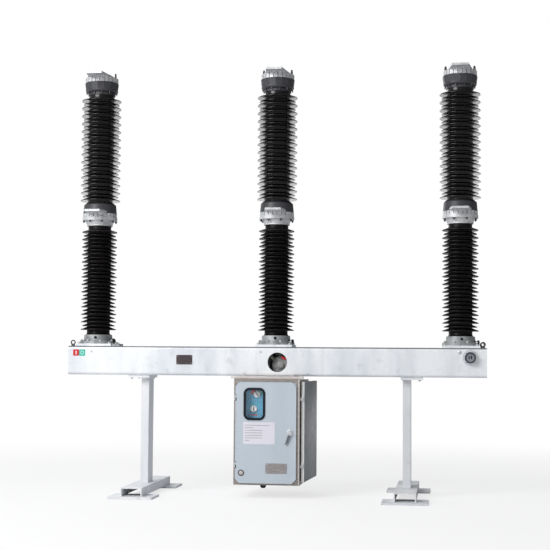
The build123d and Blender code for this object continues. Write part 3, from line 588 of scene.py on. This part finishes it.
class Piece:
    """Shapes that are gathered into one mesh."""

    def __init__(self):
        self.points = []
        self.faces = []

    def add(self, shape, place, facing=FACING_UP, turn=0.0):
        points, faces = shape
        matrix = Matrix.Translation(place) @ facing.to_4x4() @ Matrix.Rotation(turn, 4, "Z")
        first = len(self.points)
        self.points += [matrix @ point for point in points]
        self.faces += [tuple(first + number for number in face) for face in faces]

    def add_bolt(self, across, place, facing=FACING_UP, turn=0.0, stud=0.0):
        outward = facing.col[2]
        for shape, height in bolt(across, stud):
            self.add(shape, Vector(place) + outward * height, facing, turn)

    def finish(self, name, material, body):
        mesh = bpy.data.meshes.new(name)
        mesh.from_pydata([tuple(point) for point in self.points], [], self.faces)
        mesh.validate()
        mesh.shade_smooth()
        mesh.set_sharp_from_angle(angle=SHARP_ANGLE)
        mesh.materials.append(materials[material])
        made = bpy.data.objects.new(name, mesh)
        bpy.context.scene.collection.objects.link(made)
        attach(made, body)
        return made


def around(count, radius, centre, turn=0.0):
    """Places on a circle about an upright axis, with the angle of each."""
    found = []
    for number in range(count):
        angle = turn + 2 * math.pi * number / count
        offset = Vector((radius * math.cos(angle), radius * math.sin(angle), 0.0))
        found.append((Vector(centre) + offset, angle))
    return found


def facing_out(normal):
    """The turn that makes a flat shape face outward along a normal, with its y axis upward."""
    across = Vector((0, 0, 1)).cross(normal).normalized()
    return Matrix((across, normal.cross(across), normal)).transposed()


def axis_of(node):
    """The middle of a node's box, at its bottom, and the height of its top."""
    low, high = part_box(node)
    return Vector(((low.x + high.x) / 2, (low.y + high.y) / 2, low.z)), high.z


def shed_profile(core, rims, first, pitch, length):
    """The outline of an insulator with curved, round-edged sheds."""
    if first < COLLAR_HEIGHT:
        points = [(core, 0.0)]
    else:
        points = [(core + COLLAR_FLARE, 0.0), (core + COLLAR_FLARE * 0.4, COLLAR_HEIGHT * 0.4),
                  (core, COLLAR_HEIGHT)]
    for number in range(2 * BIG_SHEDS - 1):
        rim = rims[number % 2]
        low = first + number * pitch / 2
        rise = rim - core
        top = low + SHED_EDGE
        points += [
            (core, low + rise * SHED_UNDERCUT_SHARE),
            (core + rise * 0.5, low + rise * SHED_UNDERCUT_SHARE * 0.6),
            (rim - SHED_ROUND, low + rise * 0.01),
            (rim - SHED_ROUND * 0.3, low + SHED_EDGE * 0.2),
            (rim, low + SHED_EDGE * 0.5),
            (rim - SHED_ROUND * 0.3, low + SHED_EDGE * 0.8),
            (rim - SHED_ROUND, top),
            (core + rise * 0.5, top + rise * SHED_FALL_SHARE * 0.44),
            (core + rise * 0.12, top + rise * SHED_FALL_SHARE * 0.82),
            (core, top + rise * SHED_FALL_SHARE),
        ]
    return points + [(core, length)]


def insulator(kind, pole, core, rims, first, pitch):
    """A finely turned insulator in the place of its plain solid."""
    node = f"{kind}_insulator_{pole}"
    foot, top = axis_of(node)
    piece = Piece()
    piece.add(turned(shed_profile(core, rims, first, pitch, top - foot.z), SHED_SIDES), foot)
    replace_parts(piece.finish(f"{kind}_sheds_{pole}", kind, "frame"), node)


def pole_bolts(pole):
    """Bolts and nuts on the flanges of one pole."""
    bright = Piece()
    dark = Piece()
    base, _ = axis_of(f"base_casting_{pole}")
    flange_top = base + Vector((0, 0, BASE_FLANGE_THICK))
    for place, angle in around(BASE_BOLTS, BASE_BOLT_CIRCLE, flange_top, math.pi / BASE_BOLTS):
        bright.add_bolt(BASE_BOLT_ACROSS, place, FACING_UP, angle, BASE_STUD)
    for across in (-PLATE_BOLT_OFFSET, PLATE_BOLT_OFFSET):
        for along in (-PLATE_BOLT_OFFSET, PLATE_BOLT_OFFSET):
            bright.add_bolt(PLATE_BOLT_ACROSS, base + Vector((across, along, 0)))
    _, middle_top = axis_of(f"middle_casting_{pole}")
    under = Vector((base.x, base.y, middle_top - MIDDLE_FLANGE_THICK))
    for place, angle in around(MIDDLE_BOLTS, MIDDLE_BOLT_CIRCLE, under, math.pi / MIDDLE_BOLTS):
        dark.add_bolt(MIDDLE_NUT_ACROSS, place, FACING_DOWN, angle, MIDDLE_STUD)
    neck, _ = axis_of(f"upper_hood_{pole}")
    foot = Vector((base.x, base.y, neck.z + NECK_NUT_RISE))
    for place, angle in around(NECK_BOLTS, NECK_BOLT_CIRCLE, foot, math.pi / NECK_BOLTS):
        dark.add_bolt(NECK_NUT_ACROSS, place, FACING_DOWN, angle, NECK_STUD)
    _, cap_top = axis_of(f"upper_terminal_{pole}")
    cap = Vector((base.x, base.y, cap_top))
    for place, angle in around(CAP_BOLTS, CAP_BOLT_CIRCLE, cap, math.pi / CAP_BOLTS):
        bright.add_bolt(CAP_BOLT_ACROSS, place, FACING_UP, angle)
    bright.finish(f"bright_bolts_{pole}", "zinc_bolt", "frame")
    dark.finish(f"dark_nuts_{pole}", "dark_bolt", "frame")


def gas_fitting(pole):
    """The filling valve at the right of a pole's foot, with the plug on the front of the cup."""
    base, _ = axis_of(f"base_casting_{pole}")
    outward = Vector((math.cos(GAS_ANGLE), math.sin(GAS_ANGLE), 0))
    facing = facing_out(outward)
    start = base + outward * GAS_REACH + Vector((0, 0, GAS_HEIGHT))
    piece = Piece()
    piece.add(turned(GAS_COLLAR, sides=24), start, facing)
    piece.add(hexagon(GAS_NUT_ACROSS, GAS_NUT_HEIGHT), start + outward * GAS_NUT_FOOT, facing)
    piece.add(turned(GAS_CAP, sides=28), start + outward * GAS_CAP_FOOT, facing)
    front = base + PLUG_OFFSET
    piece.add(turned(PLUG_COLLAR, sides=24), front, FACING_FRONT)
    piece.add(hexagon(PLUG_HEAD_ACROSS, PLUG_HEAD_HEIGHT), front + PLUG_HEAD_FOOT, FACING_FRONT)
    piece.finish(f"gas_fitting_{pole}", "black", "frame")


def on_front(node, place):
    """A point in X and Z put on the front face of a node."""
    return Vector((place[0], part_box(node)[0].y, place[1]))


def on_dial(angle, radius):
    """A step from the middle of a face that looks to the front."""
    return Vector((math.cos(angle), 0, math.sin(angle))) * radius


def indicator_plates():
    """Two enamel plates with plain closed and open marks."""
    width = INDICATOR_SIZE - INDICATOR_TRIM
    length = INDICATOR_SIZE + INDICATOR_TRIM
    for number, (colour, name) in enumerate((("red", "closed"), ("green", "open"))):
        x = INDICATOR_LEFT + INDICATOR_SIZE * (number + 0.5)
        place = on_front("beam_front_channel", (x, INDICATOR_MIDDLE_Z))
        plate = Piece()
        plate.add(slab(width, length, INDICATOR_THICK, INDICATOR_RADIUS), place, FACING_FRONT)
        plate.finish(f"indicator_{name}", colour, "frame")
        mark = Piece()
        shape = slab(*BAR_MARK) if name == "closed" else turned(RING_MARK, sides=32, joined=True)
        mark.add(shape, place + Vector((0, -INDICATOR_THICK, 0)), FACING_FRONT)
        mark.finish(f"indicator_mark_{name}", "white", "frame")


def riveted_plate(name, node, size, place, material, body):
    """A bare plate with a raised border and a rivet in each corner."""
    width, length = size
    centre = on_front(node, place)
    plate = Piece()
    plate.add(slab(width, length, PLATE_THICK, PLATE_RADIUS), centre, FACING_FRONT)
    raised = PLATE_THICK + BORDER_RISE
    heights = (PLATE_THICK, raised, raised, PLATE_THICK)
    border = [rounded_rectangle(width - 2 * inset, length - 2 * inset, PLATE_RADIUS - inset * 0.5, height)
              for inset, height in zip(BORDER_INSETS, heights)]
    plate.add(skin(border, joined=True), centre, FACING_FRONT)
    plate.finish(name, material, body)
    rivets = Piece()
    for across in (-1, 1):
        for along in (-1, 1):
            x = across * (width / 2 - RIVET_INSET)
            z = along * (length / 2 - RIVET_INSET)
            rivets.add(turned(RIVET, sides=16), centre + Vector((x, -PLATE_THICK, z)), FACING_FRONT)
    rivets.finish(f"{name}_rivets", "bright", body)


def gauge_details():
    """The face of the density gauge with its flange screws, and the stopper and screws beside it."""
    low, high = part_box("density_gauge")
    centre = Vector(((low.x + high.x) / 2, low.y, (low.z + high.z) / 2))
    bezel = Piece()
    bezel.add(turned(BEZEL, sides=48, joined=True), centre, FACING_FRONT)
    bezel.finish("gauge_bezel", "gauge", "frame")
    dial = Piece()
    dial.add(turned(DIAL, sides=48), centre, FACING_FRONT)
    dial.finish("gauge_dial", "dial", "frame")
    marks = Piece()
    for number in range(TICKS):
        angle = math.radians(TICK_START_DEGREES - TICK_STEP_DEGREES * number)
        place = centre + on_dial(angle, TICK_CIRCLE) + DIAL_FRONT
        marks.add(slab(*TICK), place, FACING_FRONT, angle)
    for side in (-1, 1):
        place = centre + DIAL_FRONT + Vector((side * OVAL_SPREAD, 0, OVAL_RISE))
        marks.add(slab(*OVAL), place, FACING_FRONT)
    place = centre + on_dial(NEEDLE_ANGLE, NEEDLE_MIDDLE) + NEEDLE_FRONT
    marks.add(slab(*NEEDLE), place, FACING_FRONT, NEEDLE_ANGLE)
    marks.finish("gauge_marks", "black", "frame")
    screws = Piece()
    flange = Vector((centre.x, high.y - GAUGE_FLANGE_THICK, centre.z))
    for number in range(GAUGE_SCREWS):
        angle = 2 * math.pi * (number + 0.5) / GAUGE_SCREWS
        place = flange + on_dial(angle, GAUGE_SCREW_CIRCLE)
        screws.add_bolt(GAUGE_SCREW_ACROSS, place, FACING_FRONT, angle)
    screws.add(turned(STOPPER, sides=24), on_front("beam_front_channel", STOPPER_PLACE), FACING_FRONT)
    for x, z in BEAM_SCREW_PLACES:
        screws.add_bolt(BEAM_SCREW_ACROSS, on_front("beam_front_channel", (x, z)), FACING_FRONT, x)
    screws.finish("beam_screws", "zinc_bolt", "frame")


def crank_details():
    """The cover, bolts, red mark and lever link of the casting behind the inspection hole."""
    face = Piece()
    face.add(turned(CRANK_COVER, sides=40), CRANK_FACE, FACING_FRONT)
    face.add(turned(CRANK_RIM, sides=56, joined=True), CRANK_FACE, FACING_FRONT)
    for number in range(CRANK_BOLTS):
        angle = math.radians(CRANK_FIRST_DEGREES + 360 / CRANK_BOLTS * number)
        place = CRANK_FACE + on_dial(angle, CRANK_BOLT_CIRCLE)
        face.add_bolt(CRANK_BOLT_ACROSS, place, FACING_FRONT, angle)
    face.finish("crank_cover", "crank", "frame")
    mark = Piece()
    mark.add(slab(*CRANK_MARK), CRANK_MARK_PLACE, FACING_FRONT, CRANK_MARK_TURN)
    mark.finish("crank_mark", "red", "frame")
    link = Piece()
    link.add(slab(*CRANK_LINK), CRANK_LINK_PLACE, FACING_FRONT, CRANK_LINK_TURN)
    link.finish("crank_link", "link", "frame")


def beam_details():
    """A cover plate beside the left pole, and the bolts that hold the posts to the beam."""
    cover = Piece()
    cover.add(slab(*COVER_SIZE, COVER_THICK, COVER_RADIUS, COVER_EDGE), COVER_PLACE)
    cover.finish("beam_cover", "casting", "frame")
    bolts = Piece()
    for along in (-COVER_BOLT_OFFSET, COVER_BOLT_OFFSET):
        bolts.add_bolt(COVER_BOLT_ACROSS, COVER_PLACE + Vector((0, along, COVER_THICK)))
    for side in ("left", "right"):
        low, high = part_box(f"post_{side}")
        middle = low.x + HEAD_HALF_WIDTH if side == "left" else high.x - HEAD_HALF_WIDTH
        for across in (-1, 1):
            for along in (-1, 1):
                x = middle + across * HEAD_BOLT_OFFSETS[0]
                place = Vector((x, along * HEAD_BOLT_OFFSETS[1], high.z - HEAD_THICK))
                bolts.add_bolt(HEAD_BOLT_ACROSS, place, FACING_DOWN, HEAD_BOLT_TURN)
    bolts.finish("beam_bolts", "zinc_bolt", "frame")


def door_seal():
    """The rubber strip around the front opening, and a small gusset in each of its corners."""
    low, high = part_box("cabinet_front_frame")
    centre = Vector(((low.x + high.x) / 2, low.y, (low.z + high.z) / 2))
    width = high.x - low.x - 2 * FRAME_BORDER
    length = high.z - low.z - 2 * FRAME_BORDER
    steps = ((0.0, 0.0), (SEAL_EDGE, SEAL_THICK), (SEAL_WIDTH - SEAL_EDGE, SEAL_THICK), (SEAL_WIDTH, 0.0))
    loops = [rounded_rectangle(width + 2 * grow, length + 2 * grow, SEAL_RADIUS + grow, height)
             for grow, height in steps]
    seal = Piece()
    seal.add(skin(list(reversed(loops)), joined=True), centre, FACING_FRONT)
    seal.finish("door_seal", "gasket", "frame")
    gussets = Piece()
    for across in (-1, 1):
        for along in (-1, 1):
            corner = (across * (width / 2 + GUSSET_LAP), along * (length / 2 + GUSSET_LAP))
            outline = [corner, (corner[0] - across * GUSSET_REACH, corner[1]),
                       (corner[0], corner[1] - along * GUSSET_REACH)]
            if across * along < 0:
                outline.reverse()
            loops = [[Vector((*point, height)) for point in outline] for height in (0.0, GUSSET_THICK)]
            gussets.add(skin(loops), centre, FACING_FRONT)
    gussets.finish("frame_gussets", "bright", "frame")


def door_fittings():
    """The label with plain lines, the data plate, the round vent and the handle's rose."""
    label = on_front("front_door", LABEL_PLACE)
    sheet = Piece()
    sheet.add(slab(*LABEL_SIZE, LABEL_THICK, LABEL_RADIUS, LABEL_EDGE), label, FACING_FRONT)
    sheet.finish("door_label", "label", "front_door")
    lines = Piece()
    text_width = LABEL_SIZE[0] * LABEL_TEXT_SHARE
    for number, share in enumerate(LABEL_LINE_SHARES):
        width = share * text_width
        x = label.x - text_width / 2 + width / 2
        z = label.z + LABEL_SIZE[1] * (LABEL_TOP_SHARE - LABEL_STEP_SHARE * number)
        lines.add(slab(width, *LABEL_LINE), Vector((x, label.y - LABEL_THICK, z)), FACING_FRONT)
    lines.finish("door_label_lines", "print", "front_door")
    riveted_plate("data_plate", "front_door", DATA_PLATE_SIZE, DATA_PLATE_PLACE, "plate", "front_door")
    place = on_front("front_door", VENT_PLACE)
    rim = Piece()
    rim.add(turned(VENT_RIM, sides=40, joined=True), place, FACING_FRONT)
    rim.finish("door_vent_rim", "gauge", "front_door")
    vent = Piece()
    vent.add(turned(VENT_DISC, sides=40), place, FACING_FRONT)
    for number in (-1, 0, 1):
        lift = Vector((0, -VENT_SLAT_FOOT, number * VENT_SLAT_PITCH))
        vent.add(slab(*VENT_SLAT), place + lift, FACING_FRONT)
    vent.finish("door_vent", "roof", "front_door")
    rose = Piece()
    place = on_front("front_door", HANDLE_PLACE)
    rose.add(turned(HANDLE_ROSE, sides=40, joined=True), place, FACING_FRONT)
    rose.finish("handle_rose", "bright", "front_door")


def panel_fittings():
    """Pointers on the two knobs and the coloured marks around them."""
    pointers = Piece()
    lines = Piece()
    for place, turn in zip((KNOB_UPPER, KNOB_LOWER), KNOB_TURNS):
        front = on_front("mechanism_panel", place)
        pointers.add(turned(KNOB_RIM, sides=36, joined=True), front, FACING_FRONT)
        pointers.add(slab(*KNOB_POINTER), front, FACING_FRONT, turn)
        lines.add(slab(*KNOB_LINE), front + KNOB_LINE_FOOT, FACING_FRONT, turn)
    pointers.finish("knob_pointers", "knob", "frame")
    lines.finish("knob_lines", "dark_bolt", "frame")
    red = Piece()
    green = Piece()
    behind = Vector((0, KNOB_DEPTH, 0))
    upper = on_front("mechanism_panel", KNOB_UPPER) + behind
    red.add(slab(*UPPER_RED), upper + UPPER_RED_OFFSET, FACING_FRONT, UPPER_MARK_TURN)
    green.add(slab(*UPPER_GREEN), upper + UPPER_GREEN_OFFSET, FACING_FRONT, -UPPER_MARK_TURN)
    lower = on_front("mechanism_panel", KNOB_LOWER) + behind
    for number in (-1, 0, 1):
        middle = lower + Vector((number * LOWER_MARK_PITCH, 0, 0))
        lift = Vector((0, 0, LOWER_GREEN_RISE - abs(number) * LOWER_GREEN_DROP))
        green.add(slab(*LOWER_GREEN), middle + lift, FACING_FRONT, -number * LOWER_GREEN_TURN)
        red.add(slab(*LOWER_RED), middle + LOWER_RED_OFFSET, FACING_FRONT)
    red.finish("panel_marks_red", "red", "frame")
    green.finish("panel_marks_green", "green", "frame")


def cabinet_fittings():
    """The cable gland, the side latch screws and the folded right edge of the front frame."""
    gland = Piece()
    floor = Vector((*GLAND_PLACE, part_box("cabinet_floor")[0].z))
    gland.add(turned(GLAND_COLLAR, sides=32), floor, FACING_DOWN)
    gland.add(hexagon(GLAND_NUT_ACROSS, GLAND_NUT_HEIGHT), floor - GLAND_NUT_FOOT, FACING_DOWN)
    gland.add(turned(GLAND_NOSE, sides=32), floor - GLAND_NOSE_FOOT, FACING_DOWN)
    gland.finish("cable_gland", "black", "frame")
    low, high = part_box("cabinet_front_frame")
    edge = Piece()
    place = Vector((high.x - FRAME_FOLD_INSET, low.y, (low.z + high.z) / 2))
    length = high.z - low.z - FRAME_FOLD_MARGIN
    edge.add(slab(FRAME_FOLD_WIDTH, length, *FRAME_FOLD_SHAPE), place, FACING_FRONT)
    edge.finish("frame_edge", "roof", "frame")
    latch = Piece()
    joints = frame["record"]["behaviour"]["joints"]
    hinge = next(joint for joint in joints if joint["child"] == "side_door")
    pivot = Vector(hinge["pos_m"])
    ajar = Matrix.Rotation(math.radians(hinge["range_deg"][0]), 3, "Z")
    for height in LATCH_HEIGHTS:
        closed_place = Vector((SIDE_DOOR_FACE, LATCH_Y, height))
        place = pivot + ajar @ (closed_place - pivot)
        latch.add(turned(LATCH_SCREW, sides=24), place, ajar @ FACING_RIGHT)
    latch.finish("side_latch_screws", "bright", "side_door")


def rounded_edges(names, width, segments=2):
    """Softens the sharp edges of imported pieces."""
    for name in names:
        node = nodes[name]
        node.modifiers.new("weld", "WELD").merge_threshold = WELD_DISTANCE
        bevel = node.modifiers.new("edges", "BEVEL")
        bevel.width = width
        bevel.segments = segments
        bevel.limit_method = "ANGLE"
        bevel.angle_limit = EDGE_ANGLE


def dress(names, material):
    """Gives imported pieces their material."""
    for name in names:
        slots = nodes[name].data.materials
        slots.clear()
        slots.append(materials[material])


def dress_frame():
    """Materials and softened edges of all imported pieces."""
    stand = [f"{name}_{side}" for name in ("floor_plates", "base_channel", "post")
             for side in ("left", "right")]
    beam = ["beam_front_channel", "beam_back_channel", "beam_end_plates", "pole_base_plates"]
    dress(stand, "stand")
    dress(beam, "beam")
    dress(["lifting_eyes"], "dark_bolt")
    dress(["crank_housing"], "crank")
    dress(["density_gauge"], "bright")
    dress(["cabinet_roof", "cabinet_floor"], "roof")
    dress(["cabinet_side_uprights", "cabinet_side_rails", "cabinet_front_frame"], "stainless")
    dress(["cabinet_left_wall", "cabinet_back_wall", "front_door"], "cabinet")
    dress(["side_door"], "side")
    dress(["mechanism_panel"], "panel")
    dress(["hinge_halves"], "bright")
    dress(["window_gasket"], "gasket")
    dress(["window_pane"], "glass")
    dress(["door_handle"], "handle")
    for pole in POLES:
        dress([f"base_casting_{pole}"], "casting")
        dress([f"middle_casting_{pole}", f"lower_terminal_{pole}", f"upper_terminal_{pole}"], "terminal")
        dress([f"lifting_lugs_{pole}"], "dark_bolt")
        dress([f"lower_hood_{pole}", f"upper_hood_{pole}"], "hood")
    rounded_edges(stand + ["pole_base_plates", "cabinet_roof"], STEEL_EDGE)
    rounded_edges(["front_door", "side_door", "cabinet_front_frame", "door_handle"], SHEET_EDGE)


def make_stage():
    """A pale floor that fades to white, a white surround and the light of the sky."""
    mesh = bpy.data.meshes.new("floor")
    corners = [(across * FLOOR_HALF, along * FLOOR_HALF, 0) for across, along in
               ((-1, -1), (1, -1), (1, 1), (-1, 1))]
    mesh.from_pydata(corners, [], [(0, 1, 2, 3)])
    floor = bpy.data.objects.new("floor", mesh)
    bpy.context.scene.collection.objects.link(floor)
    paint = Paint("floor")
    away = paint.node("ShaderNodeVectorMath", {0: paint.place}, operation="LENGTH").outputs["Value"]
    white_share = paint.fit(away, *FLOOR_FADE, *FLOOR_WHITE_SHARES)
    light = paint.node("ShaderNodeLightPath").outputs
    seen = paint.math("MAXIMUM", light["Is Camera Ray"], light["Is Transmission Ray"])
    grain = paint.mix(paint.noise(40.0), srgb(243, 243, 243), srgb(247, 247, 247))
    paint.done(Base_Color=paint.mix(seen, srgb(222, 222, 224), grain), Roughness=0.9, Specular_IOR_Level=0.0)
    glow = paint.node("ShaderNodeEmission", {"Color": WHITE, "Strength": 1.0})
    gloss_share = paint.math("MULTIPLY", light["Is Glossy Ray"], paint.fit(away, *FLOOR_GLOSS_FADE))
    share = paint.math("MAXIMUM", paint.math("MULTIPLY", seen, white_share), gloss_share)
    mixed = paint.node("ShaderNodeMixShader", {0: share, 1: paint.shader.outputs[0], 2: glow.outputs[0]})
    paint.tree.links.new(mixed.outputs[0], paint.tree.nodes["Material Output"].inputs["Surface"])
    mesh.materials.append(paint.material)

    world = bpy.data.worlds.new("studio")
    world.use_nodes = True
    bpy.context.scene.world = world
    tree = world.node_tree
    ambient = tree.nodes["Background"]
    ambient.inputs["Color"].default_value = SKY_COLOUR
    direction = tree.nodes.new("ShaderNodeTexCoord").outputs["Generated"]
    along = tree.nodes.new("ShaderNodeVectorMath")
    along.operation = "DOT_PRODUCT"
    tree.links.new(direction, along.inputs[0])
    along.inputs[1].default_value = SKY_AXIS
    level = tree.nodes.new("ShaderNodeMapRange")
    tree.links.new(along.outputs["Value"], level.inputs["Value"])
    level.inputs["From Min"].default_value = SKY_RANGE[0]
    level.inputs["From Max"].default_value = SKY_RANGE[1]
    level.inputs["To Min"].default_value = SKY_LEVELS[0]
    level.inputs["To Max"].default_value = SKY_LEVELS[1]
    tree.links.new(level.outputs["Result"], ambient.inputs["Strength"])
    white = tree.nodes.new("ShaderNodeBackground")
    white.inputs["Color"].default_value = WHITE
    white.inputs["Strength"].default_value = 1.0
    path = tree.nodes.new("ShaderNodeLightPath")
    seen = tree.nodes.new("ShaderNodeMath")
    seen.operation = "MAXIMUM"
    tree.links.new(path.outputs["Is Camera Ray"], seen.inputs[0])
    tree.links.new(path.outputs["Is Transmission Ray"], seen.inputs[1])
    mixed = tree.nodes.new("ShaderNodeMixShader")
    tree.links.new(seen.outputs[0], mixed.inputs[0])
    tree.links.new(ambient.outputs[0], mixed.inputs[1])
    tree.links.new(white.outputs[0], mixed.inputs[2])
    tree.links.new(mixed.outputs[0], tree.nodes["World Output"].inputs["Surface"])


def make_lamp(name, place, power, size):
    """A large soft lamp that looks at the object."""
    lamp = bpy.data.lights.new(name, "AREA")
    lamp.shape = "DISK"
    lamp.size = size
    lamp.energy = power
    made = bpy.data.objects.new(name, lamp)
    made.location = place
    made.rotation_mode = "QUATERNION"
    made.rotation_quaternion = (place - LAMP_TARGET).to_track_quat("Z", "Y")
    made.visible_camera = False
    bpy.context.scene.collection.objects.link(made)


def make_camera():
    """The camera at the photograph's place and angle."""
    data = bpy.data.cameras.new("camera")
    data.sensor_width = SENSOR_WIDTH
    data.lens = FOCAL_PIXELS / FRAME_PIXELS * SENSOR_WIDTH
    data.clip_end = CAMERA_REACH
    forward = Vector((-math.sin(CAMERA_AZIMUTH) * math.cos(CAMERA_PITCH),
                      math.cos(CAMERA_AZIMUTH) * math.cos(CAMERA_PITCH), math.sin(CAMERA_PITCH)))
    level = Vector((math.cos(CAMERA_AZIMUTH), math.sin(CAMERA_AZIMUTH), 0))
    upright = level.cross(forward)
    right = level * math.cos(CAMERA_ROLL) + upright * math.sin(CAMERA_ROLL)
    up = upright * math.cos(CAMERA_ROLL) - level * math.sin(CAMERA_ROLL)
    turn = Matrix((right, up, -forward)).transposed()
    camera = bpy.data.objects.new("camera", data)
    camera.matrix_world = Matrix.Translation(CAMERA_PLACE) @ turn.to_4x4()
    bpy.context.scene.collection.objects.link(camera)
    bpy.context.scene.camera = camera


dress_frame()
for pole in POLES:
    insulator("support", pole, SUPPORT_CORE, SUPPORT_RIMS, SUPPORT_FIRST, SUPPORT_PITCH)
    insulator("interrupter", pole, INTERRUPTER_CORE, INTERRUPTER_RIMS, INTERRUPTER_FIRST, INTERRUPTER_PITCH)
    pole_bolts(pole)
    gas_fitting(pole)
indicator_plates()
riveted_plate("beam_nameplate", "beam_front_channel", NAMEPLATE_SIZE, NAMEPLATE_PLACE, "nameplate", "frame")
gauge_details()
crank_details()
beam_details()
door_seal()
door_fittings()
panel_fittings()
cabinet_fittings()
make_stage()
make_lamp("key", KEY_PLACE, KEY_POWER, KEY_SIZE)
make_lamp("back", BACK_PLACE, BACK_POWER, BACK_SIZE)
make_camera()
bpy.context.scene.view_settings.view_transform = "Standard"
